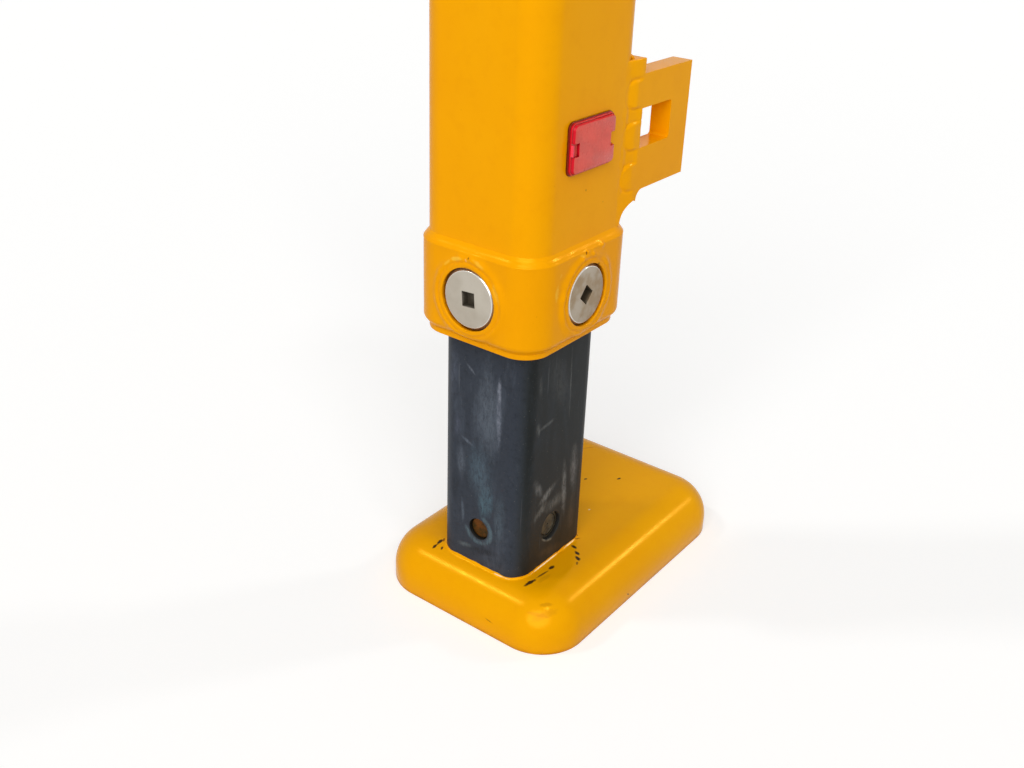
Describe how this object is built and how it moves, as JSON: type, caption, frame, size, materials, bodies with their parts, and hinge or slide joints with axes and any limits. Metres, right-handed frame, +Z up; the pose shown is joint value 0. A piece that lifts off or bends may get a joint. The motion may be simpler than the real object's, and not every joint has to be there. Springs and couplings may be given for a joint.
{
  "type": "vertical stabiliser leg of a sideshift backhoe loader",
  "caption": "Vertical telescopic stabiliser leg for a sideshift backhoe loader, with ram, adjustable wear-pad collar, rail stubs, reflector and rounded ground pad.",
  "frame": {"origin": "centre of the lower rail stub's inboard end face, where the leg joins the machine's rear frame", "axes": "+X inboard towards the machine's centre, +Y towards the machine's front, +Z up along the leg"},
  "size_m": [0.405, 0.279, 1.3845],
  "materials": {
    "yellow_paint": "gloss",
    "leg_black": "satin, scuffed",
    "black_paint": "satin",
    "zinc_plate": "dull zinc plate",
    "pin_steel": "greased",
    "rod_chrome": "polished",
    "wear_plastic": "matt",
    "reflector_red": "gloss, prismatic"
  },
  "bodies": {
    "casing": {"outer_leg": "yellow_paint", "collar": "yellow_paint", "collar_welds": "yellow_paint", "plug_outboard": "zinc_plate", "plug_rear": "zinc_plate", "plug_forward": "zinc_plate", "plug_inboard": "zinc_plate", "lower_wear_pads": "wear_plastic", "rail_lower": "yellow_paint", "rail_upper": "yellow_paint", "upper_pin_bosses": "yellow_paint", "upper_pin": "pin_steel", "pin_flag": "yellow_paint", "ram_barrel": "black_paint", "ram_head": "black_paint", "ram_gland": "black_paint", "port_block": "black_paint", "transfer_tube": "black_paint", "reflector_base": "reflector_red", "reflector_lens": "reflector_red"},
    "leg": {"inner_leg": "leg_black", "leg_base_plate": "black_paint", "upper_wear_pads": "wear_plastic", "lower_pin_bosses": "leg_black", "lower_pin": "pin_steel", "lower_pin_rings": "pin_steel", "ram_rod": "rod_chrome", "rod_eye": "black_paint", "foot_pan": "yellow_paint", "foot_ribs": "yellow_paint", "foot_bolt": "zinc_plate"}
  },
  "joints": [
    {"name": "leg_slide", "type": "slide", "parent": "casing", "child": "leg", "axis": [0, 0, 1], "range_m": [-0.26, 0.29]}
  ]
}
